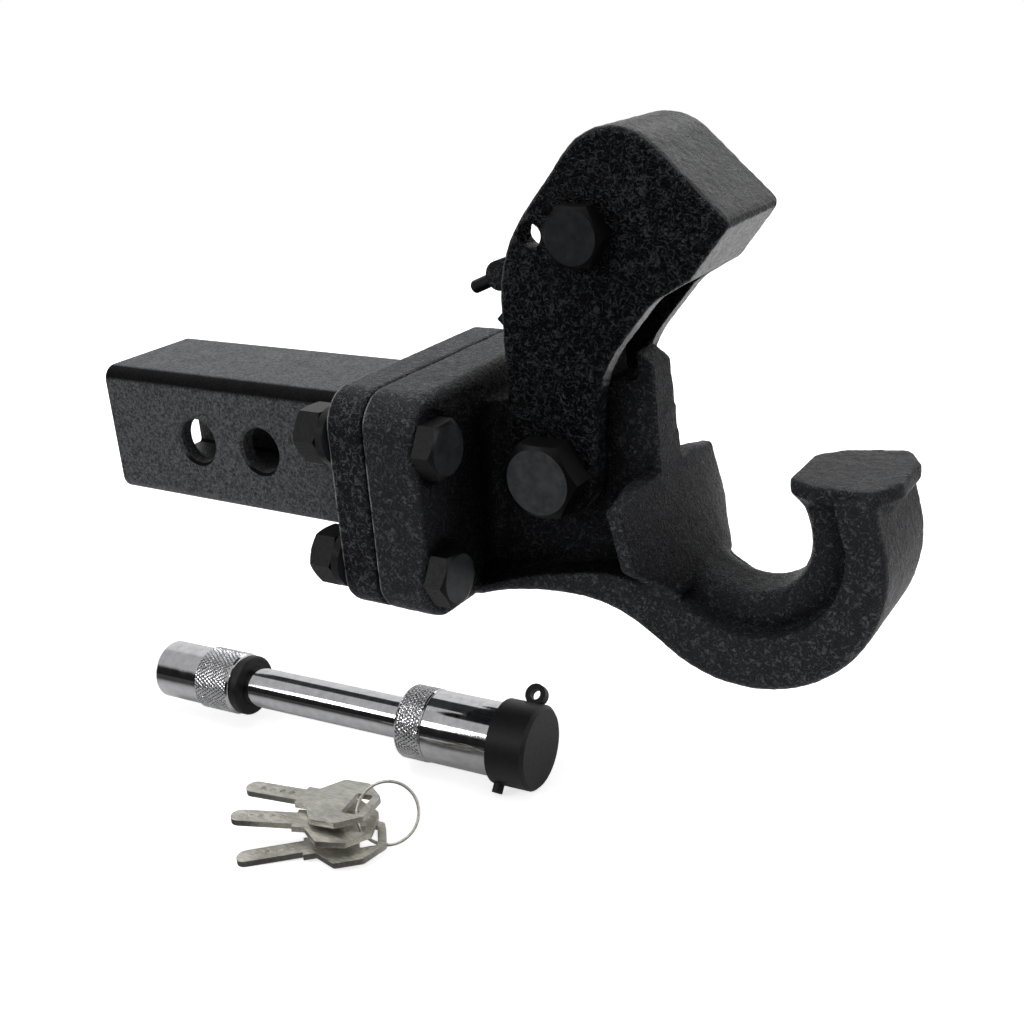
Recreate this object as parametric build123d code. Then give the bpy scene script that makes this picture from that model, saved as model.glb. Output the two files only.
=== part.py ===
from build123d import *
import math
import os

# Pintle hook tow hitch on a hollow square shank, with its locking hitch pin and three keys.
# Millimetres. +X runs forward along the shank to the hook, +Y is the left side, +Z is up.
# The origin is the centre of the rear hitch-pin hole, on the axis of the shank.

# Shank
shank_size = 50.8
shank_wall = 6.0
shank_corner = 5.5
shank_inner_corner = 1.5
shank_tail = 44.7
shank_reach = 86.4
pin_hole_diameter = 17.5
pin_hole_chamfer = 1.0
pin_hole_pitch = 31.5
weld_leg = 3.5
weld_lip = 0.6

# Mount plate and hook flange
plate_width = 101.6
plate_height = 78.0
plate_drop = 4.0
plate_thickness = 14.5
plate_corner = 13.0
plate_edge_round = 1.5
flange_thickness = 21.5
flange_edge_round = 4.0
spotface_depth = 0.5
spotface_margin = 1.8
spotface_tool = 20.0

# Mounting bolts
bolt_pitch_y = 85.7
bolt_pitch_z = 44.5
mount_bolt_diameter = 12.0
mount_bolt_flats = 18.0
mount_bolt_head = 7.5
mount_nut_height = 10.4
mount_bolt_tail = 3.0
spring_washer_thickness = 3.0
spring_washer_diameter = 20.6
bolt_hole_clearance = 0.5

# Shared fastener details
thread_clearance = 0.1
head_chamfer_angle = 30.0
head_land = 0.46
bolt_end_chamfer = 1.2

# Web and column of the hook
pivot_forward = 52.5
pivot_height = 6.2
web_foot_half = 11.3
web_crown_half = 5.6
web_crown_radius = 45.4
web_crown_angle = 97.0
lock_notch_depth = 9.0
lock_notch_clearance = 1.0
web_rear_drop = 11.0
web_step_back = 3.0
web_step_rise = 5.0
column_forward = 85.3
column_lean = 2.6
boss_radius = 14.5
junction_round = 5.0

# Rib under the web
rib_half = 22.0
rib_root_overhang = 0.5
rib_root_thickness = 4.5
rib_arch_x = 59.0
rib_arch_top = -36.9
rib_arch_radius = 45.5
rib_end_top = -25.6
rib_end_inset = 13.8
rib_top_bow = 1.5

# Horn
throat_radius = 20.5
throat_forward = 29.2
throat_drop = 9.5
throat_face_angle = 205.0
horn_back_forward = 3.0
horn_back_drop = 4.5
horn_back_radius = 44.0
horn_end_angle = 15.0
step_forward = 4.0
step_rise = 1.5
step_radius = 31.0
step_start_angle = 218.0
step_end_angle = 6.0
step_shelf = 4.0
throat_lip_share = 0.69
throat_lip_rise = 1.5
throat_lip_drift = 2.5
bead_half = 14.5
bead_root = 3.0
bead_round = 8.5
bead_cover = 8.0
bead_tail_angle = 12.0
bead_heel_angle = 215.0
rim_round = 4.0

# Guard collar round the foot of the column
collar_half = 36.0
collar_thickness = 5.0
collar_top = 5.5
collar_tip_top = 2.5
collar_tip_bottom = -17.0
collar_foot = -29.0
collar_setback = 2.1
collar_lean = 5.6
collar_bulge = 4.8
collar_round = 1.6
collar_shoulder = 2.0

# Horn tip pad, whose top face lies on a line through the latch pivot
pad_angle = 4.0
pad_reach = 76.3
pad_length = 33.7
pad_lip = 4.5
pad_flare = 6.0
pad_flare_angle = 38.0
pad_half = 20.5
pad_root_half = 12.0
pad_front_half = 9.0
pad_corner = 5.0
pad_edge_round = 1.4
pad_overlap = 2.0
pad_shoulder_share = 0.27
pad_shoulder_half_share = 0.87
pad_cheek_share = 0.82

# Latch
latch_half = 20.5
latch_side_gap = 0.3
cheek_thickness = 8.0
latch_swing_angle = 48.4
latch_heel_radius = 15.6
latch_back_lean = 0.3
latch_back_height = 70.0
latch_back_round = 45.0
latch_crown_reach = 23.0
latch_crown_height = 116.9
latch_crown_round = 20.0
latch_chin_back = 12.0
latch_chin_drop = 7.0
latch_waist_reach = 17.2
latch_waist_height = 33.0
latch_nose_round = 3.0
latch_lip_round = 2.5
latch_chin_round = 16.0
latch_waist_round = 40.0
nose_inner_reach = 81.0
nose_outer_reach = 102.0
nose_gap = 0.6
latch_edge_round = 2.2
pivot_diameter = 16.0
pivot_flats = 24.0
pivot_head = 10.0
pivot_nut_height = 14.5
pivot_bolt_tail = 3.0
pivot_washer_thickness = 2.5
pivot_washer_diameter = 28.0
running_clearance = 0.06

# Hollow between the latch's cheeks, open at its back below the brow and all along its foot
hollow_back = 60.0
hollow_foot = 40.0
hollow_brow = 82.0
hollow_ledge = 1.0
hollow_roof = 92.0
hollow_roof_back = 6.0
hollow_roof_front = 22.0
hollow_front_reach = 21.2
hollow_front_drop = 7.1
hollow_chin_back = 2.0
hollow_chin_drop = 8.5
hollow_brow_round = 3.0
hollow_round = 6.0

# Lock pawl inside the latch, its bolt and its thumb rod
pawl_bolt_reach = 14.8
pawl_bolt_height = 77.1
pawl_bolt_diameter = 12.0
pawl_bolt_flats = 18.0
pawl_bolt_head = 6.8
pawl_nut_height = 10.0
pawl_bolt_tail = 2.5
pawl_washer_thickness = 2.0
pawl_washer_diameter = 22.0
pawl_half = 5.0
pawl_hub_radius = 10.0
pawl_toe_angle = 113.5
pawl_toe_width = 7.5
pawl_toe_gap = 0.5
pawl_toe_corner = 4.0
pawl_arm_lift = 3.5
pawl_arm_depth = 4.7
pawl_drop_angle = 8.0
spacer_wall = 3.0
spacer_end_gap = 0.15
spring_wire = 2.2
spring_turns = 2
spring_play = 0.3
spring_first_turn = 0.6
spring_pitch = 0.96
spring_leg = 8.0
thumb_rod_diameter = 4.5
thumb_rod_end_back = 38.4
thumb_rod_end_height = 53.7
thumb_rod_root_back = 25.0
thumb_rod_root_height = 59.4
thumb_rod_socket = 4.0
lug_width = 13.0
lug_taper = 1.5
safety_hole_diameter = 7.6
safety_hole_back = 3.2
safety_hole_height = 75.9

# Locking hitch pin lying loose on the floor
floor_drop = 119.2
pin_start_x = -32.5
pin_start_y = -28.6
pin_yaw_angle = 3.9
pin_shaft_diameter = 15.9
pin_head_plain_diameter = 23.4
pin_head_plain_length = 21.6
pin_head_knurl_diameter = 25.0
pin_head_knurl_length = 17.0
pin_shaft_free_length = 79.1
pin_neck_diameter = 10.5
pin_neck_length = 5.0
pin_tip_length = 9.0
pin_tip_step = 1.0
pin_tip_chamfer = 2.0
pin_head_edge = 1.2
pin_knurl_edge = 0.5
seal_ring_thickness = 4.5
seal_ring_diameter = 24.0
seal_ring_round = 1.2
barrel_collar_diameter = 28.0
barrel_collar_length = 11.5
barrel_diameter = 27.4
barrel_length = 40.6
barrel_floor = 14.0
barrel_mouth_edge = 1.0
barrel_edge = 0.6
pin_bore_clearance = 0.3
lock_plug_diameter = 15.0
lock_plug_length = 17.0
lock_plug_clearance = 0.08
lock_plug_recess = 0.6
keyway_width = 2.4
keyway_height = 9.0
lock_ball_diameter = 4.0
lock_ball_reach = 10.2
lock_ball_clearance = 0.1
lock_ball_pocket = 12.5
cap_wall = 2.0
cap_length = 15.2
cap_floor = 3.0
cap_clearance = 0.05
cap_air = 0.2
cap_edge = 1.2
cap_turn_angle = 42.0
cap_loop_radius = 4.0
cap_loop_band = 2.0
cap_loop_width = 3.6
cap_loop_forward = 8.0
cap_nub_radius = 2.0
cap_nub_length = 3.2
cap_nub_forward = 2.4

# Keys lying on the floor, threaded on a split ring
key_thickness = 2.2
key_blade_width = 6.6
key_blade_length = 23.0
key_shoulder_width = 10.0
key_shoulder_length = 4.5
key_bow_half = 12.5
key_bow_length = 24.0
key_bow_corner = 2.0
key_bow_end_taper = 8.0
key_bow_shoulder_taper = 6.0
key_slot_length = 6.5
key_slot_width = 12.0
key_slot_corner = 1.2
key_slot_rim = 2.8
key_dimple_diameter = 2.2
key_dimple_depth = 0.5
key_dimple_pitch = 4.0
key_dimples = 4
ring_radius = 10.7
ring_wire = 1.1
ring_x = 106.6
ring_y = -66.6
ring_height = 9.5
ring_heading_angle = 40.5
ring_lean_angle = 56.0
key_stations = [(225.0, 37.8, -2.6), (192.0, 24.0, 2.3), (160.0, 8.1, -1.9)]

# Derived places
hook_x = shank_reach + plate_thickness
flange_front = flange_thickness
half_shank = shank_size / 2
plate_z = -plate_drop
pivot = Vector(pivot_forward, 0, pivot_height)
throat_x = column_forward + throat_forward
throat_z = -throat_drop
back_x = throat_x + horn_back_forward
back_z = throat_z - horn_back_drop
step_x = throat_x + step_forward
step_z = throat_z + step_rise
rib_root_bottom = plate_z - plate_height / 2 - rib_root_overhang
web_rear_height = plate_z + plate_height / 2 - web_rear_drop
slot_half = latch_half - cheek_thickness
boss_half = slot_half - latch_side_gap
mount_hole_diameter = mount_bolt_diameter + 2 * bolt_hole_clearance
touching = 0.1


def polar(centre_x, centre_z, radius, degrees):
    angle = math.radians(degrees)
    return (centre_x + radius * math.cos(angle), centre_z + radius * math.sin(angle))


def slab(face, half):
    """A side-view face made solid by the same amount to both sides of the middle plane."""
    return extrude(Plane.XZ * face, amount=half, both=True)


def cross_bar(x, z, radius, half):
    """A round bar across the hitch, centred on the middle plane."""
    return Pos(x, 0, z) * Rot(90, 0, 0) * Cylinder(radius, 2 * half)


def along_y(x, y, z):
    return Plane(origin=(x, y, z), x_dir=(1, 0, 0), z_dir=(0, 1, 0))


def along_x(x, y, z):
    return Plane(origin=(x, y, z), x_dir=(0, 1, 0), z_dir=(1, 0, 0))


def along_minus_x(x, y, z):
    return Plane(origin=(x, y, z), x_dir=(0, 1, 0), z_dir=(-1, 0, 0))


def hex_body(flats, height, chamfer_bottom, chamfer_top):
    """A hexagon standing on Z = 0, with its corners turned off at 30 degrees."""
    corner = flats / math.sqrt(3)
    land = head_land * flats
    drop = (corner - land) * math.tan(math.radians(head_chamfer_angle))
    foot = [(land, 0), (corner, drop)] if chamfer_bottom else [(corner, 0)]
    top = [(corner, height - drop), (land, height)] if chamfer_top else [(corner, height)]
    profile = Polyline((0, 0), *foot, *top, (0, height), close=True)
    envelope = revolve(Plane.XZ * make_face(profile), Axis.Z)
    prism = extrude(RegularPolygon(flats / 2, 6, major_radius=False), amount=height)
    return prism & envelope


def hex_bolt(diameter, flats, head, length):
    """A bolt whose head lies below Z = 0 and whose shank rises to the given length."""
    shank = Pos(0, 0, length / 2) * Cylinder(diameter / 2, length)
    tip = shank.edges().filter_by(GeomType.CIRCLE).sort_by(Axis.Z)[-1]
    shank = chamfer(tip, bolt_end_chamfer)
    return Rot(180, 0, 0) * hex_body(flats, head, False, True) + shank


def hex_nut(diameter, flats, height):
    bore = Pos(0, 0, height / 2) * Cylinder(diameter / 2 + thread_clearance, height)
    return hex_body(flats, height, True, True) - bore


def washer(outer, inner, thickness):
    ring = Circle(outer / 2) - Circle(inner / 2)
    return extrude(ring, amount=thickness)


def plate_outline(corner):
    return Pos(0, plate_z) * RectangleRounded(plate_width, plate_height, corner)


def mount_points():
    return [
        (side_y * bolt_pitch_y / 2, plate_z + side_z * bolt_pitch_z / 2)
        for side_y in (-1, 1)
        for side_z in (-1, 1)
    ]


# Shank and mount plate
def make_shank():
    outer = RectangleRounded(shank_size, shank_size, shank_corner)
    inner_size = shank_size - 2 * shank_wall
    inner = RectangleRounded(inner_size, inner_size, shank_inner_corner)
    tube = Pos(-shank_tail, 0, 0) * extrude(Plane.YZ * (outer - inner), amount=shank_tail + shank_reach)
    radius = pin_hole_diameter / 2
    mouth = radius + pin_hole_chamfer
    for hole_x in (0, pin_hole_pitch):
        tube -= cross_bar(hole_x, 0, radius, shank_size)
        for side in (-1, 1):
            flare = Pos(0, 0, -pin_hole_chamfer / 2) * Cone(radius, mouth, pin_hole_chamfer)
            tube -= Pos(hole_x, side * half_shank, 0) * Rot(-90 * side, 0, 0) * flare
    return tube


def make_weld():
    reach = shank_size + 2 * weld_leg
    root = Plane.YZ * RectangleRounded(reach, reach, shank_corner + weld_leg)
    lip_size = shank_size + 2 * weld_lip
    lip = Plane.YZ * RectangleRounded(lip_size, lip_size, shank_corner + weld_lip)
    bead = loft([Pos(shank_reach, 0, 0) * root, Pos(shank_reach - weld_leg, 0, 0) * lip])
    core = Plane.YZ * RectangleRounded(shank_size, shank_size, shank_corner)
    return bead - Pos(shank_reach - 2 * weld_leg, 0, 0) * extrude(core, amount=3 * weld_leg)


def make_mount_plate():
    face = Plane.YZ * plate_outline(plate_corner)
    plate = Pos(shank_reach, 0, 0) * extrude(face, amount=plate_thickness)
    rims = plate.faces().filter_by(Axis.X).edges()
    plate = fillet(rims, plate_edge_round)
    for y, z in mount_points():
        plate -= along_x(shank_reach, y, z) * Cylinder(mount_hole_diameter / 2, 3 * plate_thickness)
    return plate


# Hook casting, in its own frame with X = 0 on the back of its flange
def make_flange_and_web():
    flange = extrude(Plane.YZ * plate_outline(plate_corner), amount=flange_thickness)
    front = flange.faces().sort_by(Axis.X)[-1].edges()
    flange = fillet(front, flange_edge_round)
    back = flange.faces().sort_by(Axis.X)[0].edges()
    flange = fillet(back, plate_edge_round)
    column_top = column_forward - column_lean
    crown_front_z = pivot.Z + math.sqrt(web_crown_radius**2 - (column_top - pivot.X) ** 2)
    crown_back = polar(pivot.X, pivot.Z, web_crown_radius, web_crown_angle)
    crown_front = (column_top, crown_front_z)
    crown_mid = on_arc(pivot.X, pivot.Z, crown_back, crown_front)
    step_x_rear = flange_front + junction_round
    step_foot = (crown_back[0] - web_step_back, web_rear_height + web_step_rise)
    inside = flange_thickness / 2
    outline = [
        Line((inside, rib_root_bottom + rib_root_thickness), (inside, web_rear_height)),
        Line((inside, web_rear_height), (step_x_rear, web_rear_height)),
        Line((step_x_rear, web_rear_height), step_foot),
        Line(step_foot, crown_back),
        ThreePointArc(crown_back, crown_mid, crown_front),
        Line(crown_front, (column_forward, collar_top)),
        Line((column_forward, collar_top), (column_forward, throat_z - throat_radius)),
        Line((column_forward, throat_z - throat_radius), (inside, rib_root_bottom + rib_root_thickness)),
    ]
    crown_z = pivot.Z + web_crown_radius
    draft = Polyline(
        (-web_foot_half, rib_root_bottom),
        (web_foot_half, rib_root_bottom),
        (web_crown_half, crown_z),
        (-web_crown_half, crown_z),
        close=True,
    )
    wedge = extrude(Plane.YZ * make_face(draft), amount=2 * column_forward)
    web = slab(make_face(outline), web_foot_half) & wedge
    body = flange + web - slab(lock_notch(), 2 * web_foot_half)
    roots = []
    for edge in body.edges().filter_by(GeomType.LINE):
        middle = edge @ 0.5
        on_flange = abs(middle.X - flange_front) < touching
        beside_web = touching < abs(middle.Y) < web_foot_half
        if on_flange and beside_web and edge.length > web_rear_height:
            roots.append(edge)
    return fillet(roots, junction_round)


def pawl_centre():
    return (pivot.X + pawl_bolt_reach, pivot.Z + pawl_bolt_height)


def pawl_reach_and_lean():
    """How far the toe's middle is from the pawl bolt, and in which direction, with the latch open."""
    bolt_x, bolt_z = pawl_centre()
    toe_x, toe_z = polar(pivot.X, pivot.Z, web_crown_radius + pawl_toe_gap, pawl_toe_angle)
    reach = math.hypot(toe_x - bolt_x, toe_z - bolt_z)
    return reach, math.degrees(math.atan2(toe_z - bolt_z, toe_x - bolt_x))


def lock_notch():
    """The notch in the web's crown that the pawl's toe drops into once the latch has swung shut."""
    swing = math.radians(latch_swing_angle)
    x = pivot.X + pawl_bolt_reach * math.cos(swing) + pawl_bolt_height * math.sin(swing)
    z = pivot.Z + pawl_bolt_height * math.cos(swing) - pawl_bolt_reach * math.sin(swing)
    reach, lean = pawl_reach_and_lean()
    half_way = lean - latch_swing_angle + pawl_drop_angle / 2
    mouth = Rectangle(pawl_toe_width + 2 * lock_notch_clearance, 2 * lock_notch_depth)
    return Pos(x, z) * Rot(0, 0, half_way) * Pos(reach, 0) * mouth


def on_arc(centre_x, centre_z, start, end):
    """The point halfway along the shorter arc between two points of a circle."""
    first = math.atan2(start[1] - centre_z, start[0] - centre_x)
    last = math.atan2(end[1] - centre_z, end[0] - centre_x)
    radius = math.hypot(start[0] - centre_x, start[1] - centre_z)
    return polar(centre_x, centre_z, radius, math.degrees((first + last) / 2))


def underside_points():
    """The rib's arch and the straight run that leads from it, both tangent, to the horn's back."""
    arch_z = rib_arch_top - rib_arch_radius
    run = math.hypot(back_x - rib_arch_x, back_z - arch_z)
    toward = math.degrees(math.atan2(back_z - arch_z, back_x - rib_arch_x))
    turn = math.degrees(math.acos((rib_arch_radius + horn_back_radius) / run))
    leave = polar(rib_arch_x, arch_z, rib_arch_radius, toward + turn)
    meet = polar(back_x, back_z, horn_back_radius, toward + turn + 180)
    crest = (rib_arch_x, rib_arch_top)
    return crest, on_arc(rib_arch_x, arch_z, crest, leave), leave, meet


def pad_frame(distance):
    """A plane on the pad's top face, at a distance from the pivot, with its X outward."""
    angle = math.radians(pad_angle)
    x = pivot.X + distance * math.cos(angle)
    z = pivot.Z + distance * math.sin(angle)
    return Plane(
        origin=(x, 0, z),
        x_dir=(math.cos(angle), 0, math.sin(angle)),
        z_dir=(-math.sin(angle), 0, math.cos(angle)),
    )


def under_pad():
    """The height of the middle of the pad's lip at its root, where the horn runs into it."""
    return pivot.Z + pad_reach * math.sin(math.radians(pad_angle)) - pad_lip / 2


def make_rim():
    inside = flange_thickness / 2
    root = (flange_front, rib_root_bottom)
    root_top = rib_root_bottom + rib_root_thickness
    rise = rib_arch_top - rib_root_bottom
    sweep_radius = ((rib_arch_x - flange_front) ** 2 + rise**2) / (2 * rise)
    crest, shoulder, leave, meet = underside_points()
    sweep_mid = on_arc(rib_arch_x, rib_arch_top - sweep_radius, root, crest)
    back_end = polar(back_x, back_z, horn_back_radius, horn_end_angle)
    bottom = on_arc(back_x, back_z, meet, back_end)
    step_end = polar(step_x, step_z, step_radius, step_end_angle)
    step_start = polar(step_x, step_z, step_radius, step_start_angle)
    step_mid = on_arc(step_x, step_z, step_start, step_end)
    rib_end = (column_forward - rib_end_inset, rib_end_top)
    rib_mid = ((flange_front + rib_end[0]) / 2, (root_top + rib_end_top) / 2 + rib_top_bow)
    front_rise = under_pad() + pad_overlap - back_end[1]
    pad_front_x = back_end[0] - front_rise * math.tan(math.radians(horn_end_angle))
    pad_front = (pad_front_x, under_pad() + pad_overlap)
    pad_back = (step_end[0] - step_shelf, under_pad())
    outline = [
        Line((inside, root_top), (inside, rib_root_bottom)),
        Line((inside, rib_root_bottom), root),
        ThreePointArc(root, sweep_mid, crest),
        ThreePointArc(crest, shoulder, leave),
        Line(leave, meet),
        ThreePointArc(meet, bottom, back_end),
        Line(back_end, pad_front),
        Line(pad_front, pad_back),
        Line(pad_back, step_end),
        ThreePointArc(step_end, step_mid, step_start),
        Line(step_start, rib_end),
        ThreePointArc(rib_end, rib_mid, (flange_front, root_top)),
        Line((flange_front, root_top), (inside, root_top)),
    ]
    rim = slab(make_face(outline), rib_half)
    outer = []
    for edge in rim.faces().filter_by(Axis.Y).edges():
        middle = edge @ 0.5
        below_arch = middle.Z < rib_arch_top + touching and middle.X > flange_front
        up_front = middle.X > pad_front[0] - touching
        on_step = abs(math.hypot(middle.X - step_x, middle.Z - step_z) - step_radius) < touching
        if (below_arch or up_front) and not on_step:
            outer.append(edge)
    return fillet(outer, rim_round)


def make_bead():
    face_foot = polar(throat_x, throat_z, throat_radius, throat_face_angle)
    slope = math.radians(throat_face_angle - 90)
    climb = (face_foot[0] - column_forward) / -math.cos(slope)
    face_top = (column_forward, face_foot[1] + climb * math.sin(slope))
    front = (throat_x + throat_radius, throat_z)
    low = on_arc(throat_x, throat_z, face_foot, front)
    tip = (throat_x + throat_lip_share * throat_radius, pivot.Z + throat_lip_rise)
    roof = (polar(step_x, step_z, step_radius, step_end_angle)[0], under_pad())
    tail = polar(back_x, back_z, horn_back_radius - bead_cover, bead_tail_angle)
    heel = polar(back_x, back_z, horn_back_radius - bead_cover, bead_heel_angle)
    keel = on_arc(back_x, back_z, tail, heel)
    outline = [
        Line((column_forward - bead_root, face_top[1]), face_top),
        Line(face_top, face_foot),
        ThreePointArc(face_foot, low, front),
        TangentArc(front, tip, tangent=(0, 1)),
        Line(tip, roof),
        Line(roof, tail),
        ThreePointArc(tail, keel, heel),
        Line(heel, (column_forward - bead_root, face_top[1])),
    ]
    bead = slab(make_face(outline), bead_half)
    saddle = []
    for edge in bead.faces().filter_by(Axis.Y).edges():
        middle = edge @ 0.5
        off_throat = abs(math.hypot(middle.X - throat_x, middle.Z - throat_z) - throat_radius)
        on_face = column_forward < middle.X < face_foot[0] and middle.Z > face_foot[1]
        if off_throat < throat_lip_drift or on_face:
            saddle.append(edge)
    return fillet(saddle, bead_round)


def collar_section(z):
    """The collar cut level at a height, bowed out in the middle to meet the throat."""
    fall = (collar_top - z) / (collar_top - collar_tip_bottom)
    tip_x = column_forward - collar_setback + fall * collar_lean
    middle_x = column_forward + fall * (collar_lean + collar_bulge)
    back_x = tip_x - collar_thickness
    outline = [
        Line((back_x, -collar_half), (tip_x, -collar_half)),
        ThreePointArc((tip_x, -collar_half), (middle_x, 0), (tip_x, collar_half)),
        Line((tip_x, collar_half), (back_x, collar_half)),
        Line((back_x, collar_half), (back_x, -collar_half)),
    ]
    return Pos(0, 0, z) * make_face(outline)


def make_collar():
    plate = loft([collar_section(collar_foot), collar_section(collar_top)], ruled=True)
    shield = Polyline(
        (-collar_half, collar_tip_top),
        (-latch_half - collar_shoulder, collar_top),
        (latch_half + collar_shoulder, collar_top),
        (collar_half, collar_tip_top),
        (collar_half, collar_tip_bottom),
        (rib_half, collar_foot),
        (-rib_half, collar_foot),
        (-collar_half, collar_tip_bottom),
        close=True,
    )
    collar = plate & extrude(Plane.YZ * make_face(shield), amount=2 * column_forward)
    wing_edges = collar.edges().filter_by(lambda edge: abs(edge.center().Y) > rib_half + collar_round)
    return fillet(wing_edges, collar_round)


def make_pad():
    shoulder = pad_shoulder_share * pad_length
    shoulder_half = pad_shoulder_half_share * pad_half
    cheek = pad_cheek_share * pad_length
    outline = Polyline(
        (0, -pad_root_half),
        (shoulder, -shoulder_half),
        (cheek, -pad_half),
        (pad_length, -pad_front_half),
        (pad_length, pad_front_half),
        (cheek, pad_half),
        (shoulder, shoulder_half),
        (0, pad_root_half),
        close=True,
    )
    face = make_face(outline)
    face = fillet(face.vertices(), pad_corner)
    lip = extrude(face, amount=-pad_lip)
    lip = fillet(lip.faces().sort_by(Axis.Z)[-1].edges(), pad_edge_round)
    flare = extrude(Pos(0, 0, -pad_lip) * face, amount=-pad_flare, taper=pad_flare_angle)
    return pad_frame(pad_reach) * (lip + flare)


def make_hook():
    hook = make_flange_and_web()
    hook += cross_bar(pivot.X, pivot.Z, boss_radius, boss_half)
    hook += make_rim()
    hook += make_bead()
    hook += make_collar()
    hook += make_pad()
    hook -= cross_bar(pivot.X, pivot.Z, pivot_diameter / 2 + running_clearance, latch_half)
    spot = mount_bolt_flats / math.sqrt(3) + spotface_margin
    tool_x = flange_front - spotface_depth + spotface_tool / 2
    for y, z in mount_points():
        hook -= along_x(0, y, z) * Cylinder(mount_hole_diameter / 2, 4 * flange_thickness)
        hook -= along_x(tool_x, y, z) * Cylinder(spot, spotface_tool)
    return Pos(hook_x, 0, 0) * hook


# Latch, drawn in the hook's frame in its open position
def nose_point(reach, lift):
    """A point on the nose face: it lands on the pad's line when the latch has swung shut."""
    x, z = polar(0, 0, reach, pad_angle + latch_swing_angle)
    angle = math.radians(pad_angle + latch_swing_angle + 90)
    return (pivot.X + x + lift * math.cos(angle), pivot.Z + z + lift * math.sin(angle))


def make_latch():
    heel = latch_heel_radius
    nose_top = nose_point(nose_outer_reach, nose_gap)
    nose_low = nose_point(nose_inner_reach, nose_gap)
    x0, z0 = pivot.X, pivot.Z
    spine = FilletPolyline(
        [
            (x0 - heel, z0),
            (x0 - heel - latch_back_lean, z0 + latch_back_height),
            (x0 + latch_crown_reach, z0 + latch_crown_height),
            nose_top,
            nose_low,
            (nose_low[0] - latch_chin_back, nose_low[1] - latch_chin_drop),
            (x0 + latch_waist_reach, z0 + latch_waist_height),
            (x0 + heel, z0),
        ],
        radius=[
            latch_back_round,
            latch_crown_round,
            latch_nose_round,
            latch_lip_round,
            latch_chin_round,
            latch_waist_round,
        ],
    )
    bottom = ThreePointArc((x0 + heel, z0), (x0, z0 - heel), (x0 - heel, z0))
    block = slab(make_face([*spine.edges(), bottom]), latch_half)
    block = fillet(block.faces().filter_by(Axis.Y).edges(), latch_edge_round)
    return block - make_latch_cavity()


def make_latch_cavity():
    x0, z0 = pivot.X, pivot.Z
    bolt_x, bolt_z = pawl_centre()
    nose_x, nose_z = nose_point(nose_inner_reach, nose_gap)
    corners = [
        (x0 - hollow_back, z0 - hollow_foot),
        (x0 - hollow_back, z0 + hollow_brow),
        (x0 - hollow_ledge, z0 + hollow_brow),
        (x0 + hollow_roof_back, z0 + hollow_roof),
        (x0 + hollow_roof_front, z0 + hollow_roof),
        (bolt_x + hollow_front_reach, bolt_z - hollow_front_drop),
        (nose_x - hollow_chin_back, nose_z - hollow_chin_drop),
        (x0 + hollow_back, z0 - hollow_foot),
    ]
    outline = FilletPolyline(corners, radius=[hollow_brow_round] + 5 * [hollow_round])
    closing = Line(corners[-1], corners[0])
    return slab(make_face([*outline.edges(), closing]), slot_half)


def make_latch_casting():
    latch = make_latch()
    bolt_x, bolt_z = pawl_centre()
    latch -= cross_bar(pivot.X, pivot.Z, pivot_diameter / 2 + running_clearance, 2 * latch_half)
    latch -= cross_bar(bolt_x, bolt_z, pawl_bolt_diameter / 2 + running_clearance, 2 * latch_half)
    hole_x = pivot.X - safety_hole_back
    hole_z = pivot.Z + safety_hole_height
    latch -= cross_bar(hole_x, hole_z, safety_hole_diameter / 2, 2 * latch_half)
    return Pos(hook_x, 0, 0) * latch


# Lock pawl
def make_pawl():
    bolt_x, bolt_z = pawl_centre()
    reach, lean = pawl_reach_and_lean()
    end = reach + pawl_toe_width / 2
    arm_middle = -pawl_arm_lift - pawl_arm_depth / 2
    arm = Pos(end / 2, arm_middle) * Rectangle(end, pawl_arm_depth)
    arm = fillet(arm.vertices().group_by(Axis.X)[-1].group_by(Axis.Y)[0], pawl_toe_corner)
    toe = Pos(reach, arm_middle / 2) * Rectangle(pawl_toe_width, pawl_arm_depth - arm_middle)
    place = Pos(bolt_x, bolt_z) * Rot(0, 0, lean)
    rod_root = Pos(pivot.X - thumb_rod_root_back, pivot.Z + thumb_rod_root_height)
    lug_end = rod_root * Circle(lug_width / 2 - lug_taper)
    lug_shoulder = place * Pos(reach / 2, arm_middle) * Circle(lug_width / 2)
    lug = make_hull([*lug_end.edges(), *lug_shoulder.edges()])
    plan = place * (Circle(pawl_hub_radius) + arm + toe) + lug
    plan -= Pos(pivot.X, pivot.Z) * Circle(web_crown_radius + pawl_toe_gap)
    pawl = slab(plan, pawl_half)
    pawl -= cross_bar(bolt_x, bolt_z, pawl_bolt_diameter / 2 + running_clearance, 2 * pawl_half)
    pawl -= thumb_rod_bar(thumb_rod_diameter / 2)
    return Pos(hook_x, 0, 0) * pawl


def thumb_rod_bar(radius):
    end = Vector(pivot.X - thumb_rod_end_back, 0, pivot.Z + thumb_rod_end_height)
    root = Vector(pivot.X - thumb_rod_root_back, 0, pivot.Z + thumb_rod_root_height)
    out = end - root
    deep = root - out.normalized() * thumb_rod_socket
    axis = Plane(origin=deep, x_dir=(0, 1, 0), z_dir=out)
    length = (end - deep).length
    return axis * Pos(0, 0, length / 2) * Cylinder(radius, length)


def make_thumb_rod():
    rod = thumb_rod_bar(thumb_rod_diameter / 2)
    tip = rod.edges().filter_by(GeomType.CIRCLE).sort_by(Axis.X)[0]
    return Pos(hook_x, 0, 0) * fillet(tip, thumb_rod_diameter / 4)


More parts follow.
